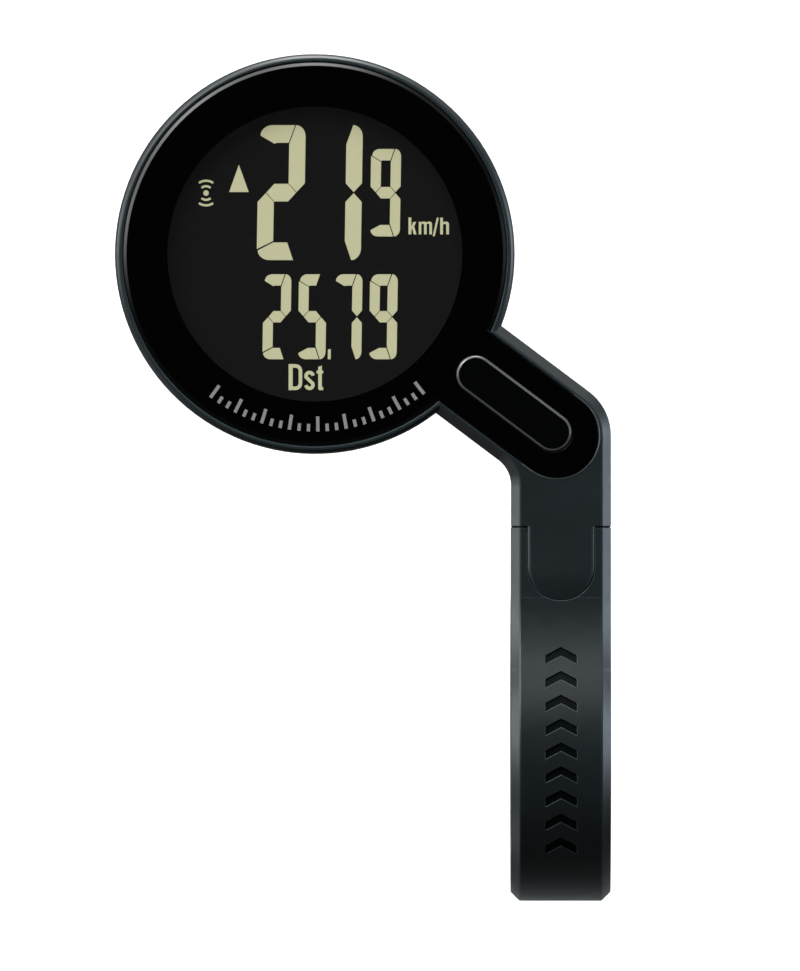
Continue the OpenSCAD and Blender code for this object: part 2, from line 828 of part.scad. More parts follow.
module arm_screws() {
    color(steel) for (x = [-arm_screw_x, arm_screw_x]) translate([x, arm_screw_y, 0]) difference() {
        union() {
            translate([0, 0, upper_split + 0.1]) cylinder(r = 1.85, h = 1.2);
            translate([0, 0, upper_split + 0.1]) cylinder(r = 1, h = 6);
        }
        for (a = [0, 90]) rotate(a) translate([-1, -0.22, upper_split - 1]) cube([2, 0.44, 1.8]);
    }
}

upper_case();
rear_case();
lens();
lens_mask();
lcd_polarizer();
lcd_front_glass();
lcd_rear_glass();
lcd_reflector();
lcd_holder();
zebra_strip();
main_board();
controller_chip();
quartz_crystal();
board_components();
antenna_core();
antenna_coil();
mode_switch();
menu_switch();
ac_switch();
battery();
positive_contact();
negative_contact();
battery_door();
battery_door_seal();
case_seal();
case_screws();
mode_button();
mode_button_seal();
menu_key();
menu_key_seal();
ac_key();
ac_key_seal();
clamp_upper();
clamp_lower();
upper_pad();
lower_pad();
hinge_pin();
clamp_bolt();
bolt_washer();
clamp_nut();
arm_screws();
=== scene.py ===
"""Looks of a round cycling computer on its handlebar clamp.

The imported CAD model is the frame. This script gives each node its material, adds the display's signs, the
printed scale on the lens and a threaded clamp bolt, and sets the floor, the lights and the camera.
Sizes are in millimetres until a mesh is made, and in metres in Blender.
"""
import math

import bmesh
import bpy
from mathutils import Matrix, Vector


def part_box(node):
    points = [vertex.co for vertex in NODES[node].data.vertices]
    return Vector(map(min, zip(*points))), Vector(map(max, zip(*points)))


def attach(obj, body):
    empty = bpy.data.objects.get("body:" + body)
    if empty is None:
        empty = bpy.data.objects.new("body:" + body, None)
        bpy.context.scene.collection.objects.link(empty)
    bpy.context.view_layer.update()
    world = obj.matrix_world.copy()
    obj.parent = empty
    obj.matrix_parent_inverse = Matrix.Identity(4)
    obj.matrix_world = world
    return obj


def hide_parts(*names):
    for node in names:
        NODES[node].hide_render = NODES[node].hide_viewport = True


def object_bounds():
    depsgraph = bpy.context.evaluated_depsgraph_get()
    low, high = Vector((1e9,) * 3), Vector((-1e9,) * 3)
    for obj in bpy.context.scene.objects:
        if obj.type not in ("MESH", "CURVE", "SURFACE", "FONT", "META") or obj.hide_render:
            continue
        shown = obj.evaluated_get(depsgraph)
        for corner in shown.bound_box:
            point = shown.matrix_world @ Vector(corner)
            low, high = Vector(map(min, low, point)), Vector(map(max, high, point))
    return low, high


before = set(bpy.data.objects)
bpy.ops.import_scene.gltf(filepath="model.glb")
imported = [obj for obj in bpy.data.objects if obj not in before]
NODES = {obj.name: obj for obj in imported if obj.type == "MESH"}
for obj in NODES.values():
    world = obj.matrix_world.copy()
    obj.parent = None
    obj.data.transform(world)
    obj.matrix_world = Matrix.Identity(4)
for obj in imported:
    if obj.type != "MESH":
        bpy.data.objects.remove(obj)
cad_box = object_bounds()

MM = 0.001


# ---------- places, from the frame ----------

def centre_mm(node):
    low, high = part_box(node)
    return (low + high) / 2 / MM


def top_mm(node):
    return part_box(node)[1].z / MM


DISC = centre_mm("lcd_polarizer")
FILM_TOP = top_mm("lcd_polarizer")
LENS_TOP = top_mm("lens")
CASE_TOP = top_mm("upper_case")
WINDOW_R = 17.7

# The lens's far end is a half round
LENS_HALF = 5.05
LENS_END = (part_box("lens")[1].x / MM - LENS_HALF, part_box("lens")[0].y / MM + LENS_HALF)
OPENING_EDGE = 0.3

# The band is round about the handlebar, and meets its hollow blend to the arm in a faint crease
BAND_R = 19.0
BLEND_R = 20.0
BLEND_AXIS = (17.562, 34.805)
CREASE_Y = 9.0416
CREASE_TURN = -0.056
CREASE_FROM = 7.0

# The band's grooves: half of their width, and the stretch of them that lies on the blend
GROOVE_HALF = 2.1
GROOVE_SKIN = 0.12
BLEND_GROOVES_Y = 10.4
BLEND_GROOVES_HALF = 1.7

# How thick the display's signs and the printed scale are
SIGN_T = 0.04
PRINT_T = 0.015


# ---------- material building ----------

SPAN_SOCKETS = ("From Min", "From Max", "To Min", "To Max")


class Tree:
    """A node tree, with short calls for its plain sums. A value is a constant or another node's socket."""

    def __init__(self, tree):
        self.tree = tree

    def add(self, kind, **settings):
        node = self.tree.nodes.new(kind)
        for key, value in settings.items():
            setattr(node, key, value)
        return node

    def link(self, source, target):
        self.tree.links.new(source, target)

    def put(self, value, target):
        """Sets a socket to a constant, or links it to another socket."""
        if isinstance(value, bpy.types.NodeSocket):
            self.link(value, target)
        else:
            target.default_value = value

    def math(self, operation, a, b=0.0, clamp=False):
        node = self.add("ShaderNodeMath", operation=operation, use_clamp=clamp)
        self.put(a, node.inputs[0])
        self.put(b, node.inputs[1])
        return node.outputs[0]

    def vector(self, operation, first, second=None):
        """A sum of vectors. It gives a number for a dot product or a length."""
        node = self.add("ShaderNodeVectorMath", operation=operation)
        self.put(first, node.inputs[0])
        if second is not None:
            self.put(second, node.inputs["Scale" if operation == "SCALE" else 1])
        return node.outputs["Value" if operation in ("DOT_PRODUCT", "LENGTH") else "Vector"]

    def span(self, value, low, high, out_low, out_high, shape="LINEAR"):
        """Maps low to out_low and high to out_high, and holds them beyond."""
        node = self.add("ShaderNodeMapRange", interpolation_type=shape)
        self.link(value, node.inputs["Value"])
        for key, number in zip(SPAN_SOCKETS, (low, high, out_low, out_high)):
            node.inputs[key].default_value = number
        return node.outputs[0]

    def part_of(self, vector, axis):
        split = self.add("ShaderNodeSeparateXYZ")
        self.link(vector, split.inputs[0])
        return split.outputs[axis]


class Nodes(Tree):
    """A material's node tree, with short calls for the nodes that this script uses."""

    def __init__(self, name):
        self.material = bpy.data.materials.new(name)
        self.material.use_nodes = True
        super().__init__(self.material.node_tree)
        self.shader = self.tree.nodes["Principled BSDF"]
        self.place = self.add("ShaderNodeTexCoord").outputs["Object"]

    def noise(self, size_mm, detail=2.0, stretch=(1, 1, 1), rough=0.5):
        """Noise whose blobs are about size_mm across, stretched by the given factors."""
        mapping = self.add("ShaderNodeMapping")
        mapping.inputs["Scale"].default_value = [1 / (size_mm * MM * s) for s in stretch]
        self.link(self.place, mapping.inputs["Vector"])
        noise = self.add("ShaderNodeTexNoise")
        noise.inputs["Scale"].default_value = 1.0
        noise.inputs["Detail"].default_value = detail
        noise.inputs["Roughness"].default_value = rough
        self.link(mapping.outputs[0], noise.inputs["Vector"])
        return noise.outputs[0]

    def cells(self, size_mm):
        texture = self.add("ShaderNodeTexVoronoi", feature="F1")
        texture.inputs["Scale"].default_value = 1 / (size_mm * MM)
        self.link(self.place, texture.inputs["Vector"])
        return texture.outputs["Distance"]

    def ramp(self, value, *stops):
        """A colour ramp. Each stop is (position, grey) or (position, (r, g, b))."""
        node = self.add("ShaderNodeValToRGB")
        elements = node.color_ramp.elements
        while len(elements) < len(stops):
            elements.new(0.5)
        for element, (position, colour) in zip(elements, stops):
            element.position = position
            grey = isinstance(colour, (int, float))
            element.color = (colour, colour, colour, 1) if grey else (*colour, 1)
        self.link(value, node.inputs[0])
        return node.outputs[0]

    def mix(self, amount, first, second, blend="MIX"):
        node = self.add("ShaderNodeMix", data_type="RGBA", blend_type=blend)
        self.put(amount, node.inputs[0])
        for value, socket in ((first, node.inputs[6]), (second, node.inputs[7])):
            self.put(value if isinstance(value, bpy.types.NodeSocket) else (*value, 1), socket)
        return node.outputs[2]

    def from_axis(self, x_mm, y_mm):
        """Distance in metres from the vertical axis at x_mm, y_mm."""
        shift = self.vector("SUBTRACT", self.place, (x_mm * MM, y_mm * MM, 0))
        return self.vector("LENGTH", self.vector("MULTIPLY", shift, (1, 1, 0)))

    def soft_edges(self, radius_mm):
        """A normal that rounds every sharp edge by this radius, and a mask of those edges."""
        node = self.add("ShaderNodeBevel", samples=4)
        node.inputs["Radius"].default_value = radius_mm * MM
        agreement = self.vector("DOT_PRODUCT", node.outputs[0], self.normal())
        return node.outputs[0], self.span(agreement, 0.995, 0.955, 0, 1)

    def normal(self):
        return self.add("ShaderNodeNewGeometry").outputs["Normal"]

    def along(self, axis):
        """The place along one axis, in metres."""
        return self.part_of(self.place, axis)

    def sloping(self):
        """A mask of the faces that don't look straight up, such as a bevel beside a flat top."""
        return self.math("LESS_THAN", self.part_of(self.normal(), "Z"), 0.95)

    def bump(self, height, strength, distance_mm, below=None):
        node = self.add("ShaderNodeBump")
        node.inputs["Strength"].default_value = strength
        node.inputs["Distance"].default_value = distance_mm * MM
        self.link(height, node.inputs["Height"])
        if below is not None:
            self.link(below, node.inputs["Normal"])
        return node.outputs[0]

    def finish(self, colour, roughness, normal=None, **constants):
        """Sets the shader's sockets. Constants are set straight on the shader."""
        base = colour if isinstance(colour, bpy.types.NodeSocket) else (*colour, 1)
        self.put(base, self.shader.inputs["Base Color"])
        self.put(roughness, self.shader.inputs["Roughness"])
        if normal is not None:
            self.link(normal, self.shader.inputs["Normal"])
        for key, value in constants.items():
            self.shader.inputs[key.replace("_", " ")].default_value = value
        return self.material


def scaled(colour, factor):
    return tuple(c * factor for c in colour)


def moulded(name, colour, roughness, grain_mm=0.16, edge_mm=0.0, opening=False, grooves=False):
    """Moulded plastic: a fine spark-eroded grain, with slow changes of tone and gloss.

    edge_mm is the width of its rounded edges, which are painted paler as a highlight. The edge of the
    opening round the lens's far end is painted pale as a highlight, and the floors of grooves are painted
    darker as shade.
    """
    m = Nodes(name)
    fine = m.noise(grain_mm, detail=3)
    slow = m.noise(7, detail=2)
    tone = m.mix(m.span(slow, 0.3, 0.7, 0, 1), scaled(colour, 0.9), scaled(colour, 1.1))
    speck = m.mix(m.span(fine, 0.35, 0.65, 0, 1), (0.9, 0.9, 0.9), (1.1, 1.1, 1.1))
    gloss = m.span(m.noise(1.6, detail=4), 0.3, 0.7, roughness - 0.03, roughness + 0.03)
    face = m.mix(1.0, tone, speck, "MULTIPLY")
    rounded = None
    if edge_mm:
        rounded, wear_and_painted_highlight = m.soft_edges(edge_mm)
        # Rounded edges are painted paler: a painted highlight along every sharp edge
        face = m.mix(wear_and_painted_highlight, face, scaled(colour, EDGE_HIGHLIGHT))
    if opening:
        # The bevel round the lens opening's far end is painted pale: a painted highlight
        face = m.mix(opening_edge(m), face, OPENING_HIGHLIGHT)
    if grooves:
        # Groove floors are painted darker and reflect less: painted shade in the grooves
        groove_shade_mask = groove_floor(m)
        face = m.mix(groove_shade_mask, face, scaled(colour, 0.25))
        m.link(m.span(groove_shade_mask, 0, 1, 0.5, 0.08), m.shader.inputs["Specular IOR Level"])
        rounded = blended(m, rounded)
    coarse = m.bump(m.cells(grain_mm * 2), 0.06, 0.02, rounded)
    return m.finish(face, gloss, m.bump(fine, 0.12, 0.02, coarse), Specular_IOR_Level=0.5)


def opening_edge(m):
    """A mask of the narrow bevel round the far end of the lens's opening, which is painted pale as a
    highlight.
    """
    near = m.math("LESS_THAN", m.from_axis(*LENS_END), (LENS_HALF + OPENING_EDGE) * MM)
    crest = m.math("GREATER_THAN", m.along("Z"), (CASE_TOP - OPENING_EDGE) * MM)
    return m.math("MULTIPLY", m.math("MULTIPLY", near, crest), m.sloping())


def blended(m, normal):
    """Turns the normal gradually towards the crease between the band and its blend, to hide the crease."""
    y = m.along("Y")
    turn = m.math("MULTIPLY", m.span(y, CREASE_FROM * MM, CREASE_Y * MM, 0, CREASE_TURN),
                  m.math("LESS_THAN", y, CREASE_Y * MM))
    tilt = m.add("ShaderNodeCombineXYZ")
    m.link(turn, tilt.inputs["Y"])
    return m.vector("NORMALIZE", m.vector("ADD", normal, tilt.outputs[0]))


def groove_floor(m):
    """A mask of the grooves' floors, which lie below the outer faces of the band and of its blend."""
    y, z = m.along("Y"), m.along("Z")

    def from_rod(y_mm, z_mm):
        dy, dz = m.math("SUBTRACT", y, y_mm * MM), m.math("SUBTRACT", z, z_mm * MM)
        return m.math("SQRT", m.math("ADD", m.math("MULTIPLY", dy, dy), m.math("MULTIPLY", dz, dz)))

    def within(value, middle_mm, half_mm):
        off = m.math("ABSOLUTE", m.math("SUBTRACT", value, middle_mm * MM))
        return m.math("LESS_THAN", off, half_mm * MM)

    below_band = m.math("LESS_THAN", from_rod(0, 0), (BAND_R - GROOVE_SKIN) * MM)
    below_blend = m.math("MULTIPLY", within(y, BLEND_GROOVES_Y, BLEND_GROOVES_HALF),
                         m.math("GREATER_THAN", from_rod(*BLEND_AXIS), (BLEND_R + GROOVE_SKIN) * MM))
    middle = within(m.along("X"), 0, GROOVE_HALF)
    return m.math("MULTIPLY", middle, m.math("MAXIMUM", below_band, below_blend))


def rubbery(name, colour, roughness, sheen=0.15):
    """Moulded rubber: a soft grain, patches of paler dust and a little sheen."""
    m = Nodes(name)
    fine = m.noise(0.22, detail=4)
    dust = m.ramp(m.noise(2.5, detail=5), (0.45, 0.0), (0.75, 1.0))
    body = m.mix(dust, colour, scaled(colour, 1.5))
    gloss = m.span(fine, 0.3, 0.7, roughness - 0.06, roughness + 0.04)
    return m.finish(body, gloss, m.bump(fine, 0.3, 0.03), Sheen_Weight=sheen)


def brushed(name, colour, roughness, stretch=(30, 1, 1)):
    """Metal with fine lines along its longest stretch, and duller patches where it is handled."""
    m = Nodes(name)
    streaks = m.noise(0.12, detail=4, stretch=stretch)
    patches = m.noise(2.2, detail=3)
    tone = m.mix(m.span(streaks, 0.3, 0.7, 0, 1), scaled(colour, 0.82), scaled(colour, 1.08))
    wear_and_painted_highlight = m.span(patches, 0.35, 0.7, roughness * 0.8, roughness * 1.35)
    gloss = m.math("ADD", wear_and_painted_highlight, m.span(streaks, 0.3, 0.7, -0.04, 0.04), clamp=True)
    return m.finish(tone, gloss, m.bump(streaks, 0.1, 0.01), Metallic=1.0)


def turned_metal(name, colour, roughness, axis_mm, pitch_mm=0.12):
    """Metal turned on a lathe about a vertical axis: fine rings, with a little tone in them."""
    m = Nodes(name)
    rings = m.math("SINE", m.math("MULTIPLY", m.from_axis(*axis_mm), 2 * math.pi / (pitch_mm * MM)))
    patches = m.noise(1.5, detail=3)
    tone = m.mix(m.span(rings, -1, 1, 0, 1), scaled(colour, 0.92), colour)
    gloss = m.span(patches, 0.3, 0.7, roughness * 0.8, roughness * 1.3)
    return m.finish(tone, gloss, m.bump(rings, 0.06, 0.01), Metallic=1.0)


# ---------- materials ----------

def lens_glass():
    """Hard-coated clear lens: black over the print, and clear over the window. It closes at a glance."""
    m = Nodes("lens_glass")
    radius = m.from_axis(DISC.x, DISC.y)
    outside = m.math("GREATER_THAN", radius, WINDOW_R * MM)
    facing = m.add("ShaderNodeLayerWeight")
    facing.inputs["Blend"].default_value = 0.35
    glance = m.span(m.math("POWER", facing.outputs["Facing"], 2.0), 0, 1, 0.05, 0.9)
    m.link(m.math("MAXIMUM", outside, glance), m.shader.inputs["Alpha"])
    haze = m.span(m.noise(9, detail=3), 0.3, 0.7, 0.03, 0.06)
    wipe = m.noise(0.6, detail=3, stretch=(12, 1, 1))
    relief = m.bump(wipe, 0.004, 0.005, m.soft_edges(0.1)[0])
    return m.finish((0.0006, 0.0006, 0.0008), haze, relief, IOR=1.49, Coat_Weight=0.6, Coat_Roughness=0.03)


def print_black():
    """Screen print behind the lens, with a faint orange peel."""
    m = Nodes("print_black")
    peel = m.noise(0.5, detail=2)
    return m.finish(m.mix(peel, (0.0004, 0.0004, 0.0004), (0.0008, 0.0008, 0.0008)), 0.5,
                    m.bump(peel, 0.05, 0.01), Specular_IOR_Level=0.0)


def film_dark():
    """The display's polarizer, with the very fine weave of its electrode rows. It glows faintly as painted
    light.
    """
    m = Nodes("film_dark")
    rows = m.noise(0.08, detail=1, stretch=(40, 1, 1))
    slow = m.noise(12, detail=1)
    tone = m.mix(slow, (0.0053, 0.0051, 0.0052), (0.0059, 0.0057, 0.0058))
    # The film glows in its own dark tone: painted light that keeps it evenly lit and free of shadow
    m.link(tone, m.shader.inputs["Emission Color"])
    return m.finish((0.0022, 0.0021, 0.0021), m.span(rows, 0.3, 0.7, 0.42, 0.5),
                    m.bump(rows, 0.02, 0.01), Emission_Strength=1.0, Specular_IOR_Level=0.12)


def sign_cream():
    """A display sign: pale, a little green, with a thin mottle from the layers below it. It glows as painted
    light.
    """
    m = Nodes("sign_cream")
    mottle = m.noise(0.9, detail=3)
    warm = m.mix(m.span(mottle, 0.35, 0.65, 0, 1), SIGN_WARM, SIGN_GREEN)
    # The sign glows in its own colour: painted light, since a display sign is no lamp
    m.link(warm, m.shader.inputs["Emission Color"])
    unlit = m.mix(1.0, warm, (0.3, 0.3, 0.3), "MULTIPLY")
    relief = m.bump(m.noise(0.1, detail=1), 0.03, 0.01)
    return m.finish(unlit, 0.6, relief, Emission_Strength=SIGN_PAINTED_GLOW, Specular_IOR_Level=0.1)


def tick_grey():
    """Grey pad-printed ink, slightly grainy."""
    m = Nodes("tick_grey")
    grain = m.noise(0.12, detail=2)
    return m.finish(m.mix(grain, TICK_DARK, TICK_PALE), m.span(grain, 0.3, 0.7, 0.45, 0.6),
                    m.bump(grain, 0.08, 0.01), Specular_IOR_Level=0.2)


def gloss_key():
    """Gloss black key, polished in its mould, with faint wiping marks and a rim painted paler as a
    highlight.
    """
    m = Nodes("gloss_key")
    wipe = m.noise(0.5, detail=4, stretch=(10, 1, 1))
    cloud = m.noise(3, detail=3)
    face = m.mix(cloud, (0.0007, 0.0008, 0.0010), (0.0014, 0.0016, 0.0018))
    # The sloping rim of the key is painted paler: a painted highlight
    rim_highlight = m.mix(m.sloping(), face, (0.060, 0.063, 0.066))
    relief = m.bump(wipe, 0.01, 0.01, m.soft_edges(0.15)[0])
    return m.finish(rim_highlight, m.span(wipe, 0.3, 0.7, 0.05, 0.12), relief, IOR=1.5, Coat_Weight=1.0,
                    Coat_Roughness=0.05)


def clear_glass(name, colour):
    """Thin display glass with a faint tint and a trace of its electrode pattern."""
    m = Nodes(name)
    rows = m.noise(0.4, detail=1, stretch=(20, 1, 1))
    return m.finish(m.mix(rows, colour, scaled(colour, 0.9)), m.span(rows, 0.3, 0.7, 0.02, 0.06),
                    m.bump(rows, 0.02, 0.01), IOR=1.52, Transmission_Weight=0.85)


def film_pale():
    """Satin reflector film with a fine crushed-foil relief."""
    m = Nodes("film_pale")
    foil = m.cells(0.12)
    return m.finish(m.mix(foil, (0.60, 0.61, 0.56), (0.68, 0.69, 0.64)), 0.4, m.bump(foil, 0.15, 0.01),
                    Metallic=0.3)


def solder_mask():
    """Green circuit board: traces under the mask, gold pads and a fine glass weave."""
    m = Nodes("solder_mask")
    lanes = m.add("ShaderNodeTexBrick", offset=0.5)
    lanes.inputs["Scale"].default_value = 1.0
    for key, value in (("Brick Width", 0.0042), ("Row Height", 0.0011), ("Mortar Size", 0.00016)):
        lanes.inputs[key].default_value = value
    lanes.inputs["Color1"].default_value = (0.010, 0.085, 0.035, 1)
    lanes.inputs["Color2"].default_value = (0.012, 0.095, 0.042, 1)
    lanes.inputs["Mortar"].default_value = (0.035, 0.190, 0.075, 1)
    m.link(m.place, lanes.inputs["Vector"])
    pads = m.ramp(m.cells(1.7), (0.16, 1.0), (0.20, 0.0))
    face = m.mix(pads, lanes.outputs["Color"], (0.75, 0.55, 0.22))
    weave = m.noise(0.25, detail=2)
    m.link(pads, m.shader.inputs["Metallic"])
    return m.finish(face, m.span(weave, 0.3, 0.7, 0.25, 0.38), m.bump(weave, 0.06, 0.01))


def chip_black():
    """Moulded chip body with a fine matt grain and pale dust."""
    m = Nodes("chip_black")
    grain = m.noise(0.1, detail=3)
    tone = m.mix(grain, (0.012, 0.012, 0.013), (0.026, 0.026, 0.027))
    return m.finish(tone, 0.6, m.bump(grain, 0.2, 0.01))


def ceramic_tan():
    """Chip capacitors: a tan body with tinned ends, repeated at the pitch of the rows."""
    m = Nodes("ceramic_tan")
    pitch, row_start, body_at, body_half = 2.6, 7.3, 0.31, 0.17
    first = centre_mm("board_components").x - row_start
    along = m.math("FRACT", m.math("DIVIDE", m.math("SUBTRACT", m.along("X"), first * MM), pitch * MM))
    middle = m.math("LESS_THAN", m.math("ABSOLUTE", m.math("SUBTRACT", along, body_at)), body_half)
    grain = m.noise(0.15, detail=2)
    body = m.mix(grain, (0.30, 0.19, 0.10), (0.40, 0.27, 0.15))
    m.link(m.math("SUBTRACT", 1.0, middle), m.shader.inputs["Metallic"])
    return m.finish(m.mix(middle, (0.62, 0.60, 0.56), body), 0.38, m.bump(grain, 0.1, 0.01))


def copper_winding():
    """Enamelled copper wire, wound side by side along the coil."""
    m = Nodes("copper_winding")
    wire_pitch = 0.16
    turns = m.math("SINE", m.math("MULTIPLY", m.along("X"), 2 * math.pi / (wire_pitch * MM)))
    # Paler on each turn's crest and darker between turns: painted highlight and painted shade of the round
    # wire
    shade = m.span(turns, -1, 1, 0, 1)
    return m.finish(m.mix(shade, (0.25, 0.07, 0.02), (0.78, 0.33, 0.13)), m.span(turns, -1, 1, 0.45, 0.25),
                    m.bump(turns, 0.6, 0.05), Metallic=0.9, Coat_Weight=0.5)


def ferrite_grey():
    """Sintered ferrite: dark, coarse and a little metallic."""
    m = Nodes("ferrite_grey")
    grain = m.noise(0.18, detail=5, rough=0.7)
    tone = m.mix(grain, (0.03, 0.03, 0.034), (0.075, 0.075, 0.08))
    return m.finish(tone, m.span(grain, 0.3, 0.7, 0.4, 0.62), m.bump(grain, 0.3, 0.02), Metallic=0.35)


SIGN_WARM = (0.550, 0.532, 0.333)
SIGN_GREEN = (0.536, 0.546, 0.340)
SIGN_PAINTED_GLOW = 0.74
TICK_DARK = (0.13, 0.13, 0.125)
TICK_PALE = (0.20, 0.20, 0.19)
CASE_GREY = (0.0072, 0.0106, 0.0120)
# Colour of the painted highlight on the bevel round the lens opening's far end
OPENING_HIGHLIGHT = (0.20, 0.21, 0.21)
# How many times paler than its face a rounded edge is painted, as a highlight
EDGE_HIGHLIGHT = 7.0

MATERIALS = {
    "top": moulded("top_plastic", CASE_GREY, 0.33, edge_mm=0.12, opening=True),
    "case": moulded("case_plastic", CASE_GREY, 0.33, edge_mm=0.12),
    "band": moulded("band_plastic", CASE_GREY, 0.33, edge_mm=0.12, grooves=True),
    "door": moulded("door_plastic", scaled(CASE_GREY, 1.05), 0.42, grain_mm=0.2),
    "rear_key": moulded("rear_key_plastic", (0.045, 0.050, 0.053), 0.45, grain_mm=0.12),
    "white": moulded("white_plastic", (0.66, 0.66, 0.62), 0.5),
    "rubber": rubbery("pad_rubber", (0.018, 0.018, 0.019), 0.72),
    "silicone": rubbery("silicone_black", (0.012, 0.012, 0.013), 0.55, sheen=0.25),
    "strip": rubbery("strip_rubber", (0.05, 0.05, 0.055), 0.6),
    "lens": lens_glass(),
    "print": print_black(),
    "film": film_dark(),
    "sign": sign_cream(),
    "tick": tick_grey(),
    "key": gloss_key(),
    "glass": clear_glass("display_glass", (0.80, 0.86, 0.82)),
    "reflector": film_pale(),
    "board": solder_mask(),
    "chip": chip_black(),
    "ceramic": ceramic_tan(),
    "copper": copper_winding(),
    "ferrite": ferrite_grey(),
    "gold": brushed("contact_spring_metal", (0.72, 0.56, 0.28), 0.28, stretch=(1, 20, 1)),
    "nickel": turned_metal("cell_nickel", (0.62, 0.61, 0.59), 0.24, (DISC.x, DISC.y), 0.3),
    "steel": brushed("pin_steel", (0.58, 0.58, 0.60), 0.25),
    "bolt": turned_metal("bolt_steel", (0.56, 0.56, 0.58), 0.26, centre_mm("clamp_bolt").xy),
    "zinc": turned_metal("washer_zinc", (0.62, 0.63, 0.66), 0.3, centre_mm("bolt_washer").xy),
    "black_steel": brushed("black_screw_steel", (0.075, 0.075, 0.08), 0.34, stretch=(1, 1, 8)),
}

FINISHES = {
    "top": ["upper_case"],
    "case": ["rear_case", "clamp_lower"],
    "band": ["clamp_upper"],
    "door": ["battery_door"],
    "rear_key": ["menu_key", "ac_key"],
    "white": ["lcd_holder"],
    "rubber": ["upper_pad", "lower_pad"],
    "silicone": ["case_seal", "battery_door_seal", "mode_button_seal", "menu_key_seal", "ac_key_seal"],
    "strip": ["zebra_strip"],
    "lens": ["lens"],
    "print": ["lens_mask"],
    "film": ["lcd_polarizer"],
    "key": ["mode_button"],
    "glass": ["lcd_front_glass", "lcd_rear_glass"],
    "reflector": ["lcd_reflector"],
    "board": ["main_board"],
    "chip": ["controller_chip", "mode_switch", "menu_switch", "ac_switch"],
    "ceramic": ["board_components"],
    "copper": ["antenna_coil"],
    "ferrite": ["antenna_core"],
    "gold": ["positive_contact", "negative_contact"],
    "nickel": ["battery", "quartz_crystal"],
    "steel": ["hinge_pin"],
    "bolt": ["clamp_bolt"],
    "zinc": ["bolt_washer", "clamp_nut"],
    "black_steel": ["case_screws", "arm_screws"],
}


def dress(thing, finish):
    """Gives an object one material in all its slots."""
    slots = thing.data.materials
    slots.clear()
    slots.append(MATERIALS[finish])
    return thing


for finish, names in FINISHES.items():
    for name in names:
        dress(NODES[name], finish)


# ---------- mesh helpers ----------

def in_scene(name, data):
    thing = bpy.data.objects.new(name, data)
    bpy.context.scene.collection.objects.link(thing)
    return thing


def arc(cx, cy, rx, ry, start, end, steps=8):
    """Points on an ellipse's arc, in degrees."""
    angles = [math.radians(start + (end - start) * i / steps) for i in range(steps + 1)]
    return [(cx + rx * math.cos(a), cy + ry * math.sin(a)) for a in angles]


def ribbon(points, width):
    """The outline of a stroke of even width along the points, with mitred corners."""
    left, right = [], []
    for i, point in enumerate(points):
        here = Vector(point)
        before = (here - Vector(points[i - 1])).normalized() if i else None
        after = (Vector(points[i + 1]) - here).normalized() if i + 1 < len(points) else None
        run = ((before or after) + (after or before)).normalized()
        side = Vector((-run.y, run.x))
        reach = width / 2 / max(side.dot(Vector((-(after or before).y, (after or before).x))), 0.5)
        left.append(tuple(here + side * reach))
        right.append(tuple(here - side * reach))
    return right + left[::-1]


def plates(name, outlines, z0, z1, finish, slot, body, origin=(0, 0)):
    """One object of flat plates, each extruded from its outline. Outlines are relative to origin."""
    mesh = bpy.data.meshes.new(name)
    bm = bmesh.new()
    for outline in outlines:
        low, high = [[bm.verts.new(((x + origin[0]) * MM, (y + origin[1]) * MM, z * MM)) for x, y in outline]
                     for z in (z0, z1)]
        bm.faces.new(low[::-1])
        bm.faces.new(high)
        for i in range(len(outline)):
            bm.faces.new((low[i - 1], low[i], high[i], high[i - 1]))
    bmesh.ops.recalc_face_normals(bm, faces=bm.faces)
    bmesh.ops.triangulate(bm, faces=[f for f in bm.faces if len(f.verts) > 4], ngon_method="EAR_CLIP")
    bm.to_mesh(mesh)
    bm.free()
    piece = dress(in_scene(name, mesh), finish)
    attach(piece, body)
    return piece


# ---------- display signs ----------

SLANT = 0.016
SEGMENTS = {"1": "bc", "2": "abged", "5": "afgcd", "7": "abc", "9": "abfgcd"}


def segment_outlines(w, h, v, t, gap=0.06):
    """The seven segments of a digit. v and t are the widths of the upright and level ones."""
    m = h / 2
    top_x = w - 0.62 * v
    steep = gap * t / (0.38 * v)
    round_x, round_y = 0.62 * v - gap, 0.66 * t
    return {
        "a": ([(w - v - gap, h - t), (top_x - gap, h)]
              + arc(0.85 * v, h - 0.59 * t, 0.73 * v, 0.59 * t, 90, 180)
              + [(v, h - 1.06 * t), (1.1 * v, h - t)]),
        "b": ([(w - v / 2, m + gap), (w, m + t / 2 + gap)]
              + arc(top_x + gap, h - round_y, round_x, round_y, 0, 90)
              + [(w - v, h - t - steep), (w - v, m + t / 2 + gap)]),
        "f": [(v / 2, m + gap), (v, m + t / 2 + gap), (v, h - 1.08 * t - gap), (0, h - 0.57 * t - gap),
              (0, m + t / 2 + gap)],
        "g": [(v / 2 + gap, m), (v + gap / 2, m - t / 2), (w - v - gap / 2, m - t / 2),
              (w - v / 2 - gap, m), (w - v - gap / 2, m + t / 2), (v + gap / 2, m + t / 2)],
        "e": [(0, 0.60 * t + gap), (v, 1.05 * t + gap), (v, m - t / 2 - gap), (v / 2, m - gap),
              (0, m - t / 2 - gap)],
        "c": ([(w - v, t + steep)]
              + arc(top_x + gap, round_y, round_x, round_y, -90, 0)
              + [(w, m - t / 2 - gap), (w - v / 2, m - gap), (w - v, m - t / 2 - gap)]),
        "d": (arc(0.80 * v, 0.55 * t, 0.74 * v, 0.55 * t, 180, 270)
              + [(top_x - gap, 0), (w - v - gap, t), (v, t)]),
    }


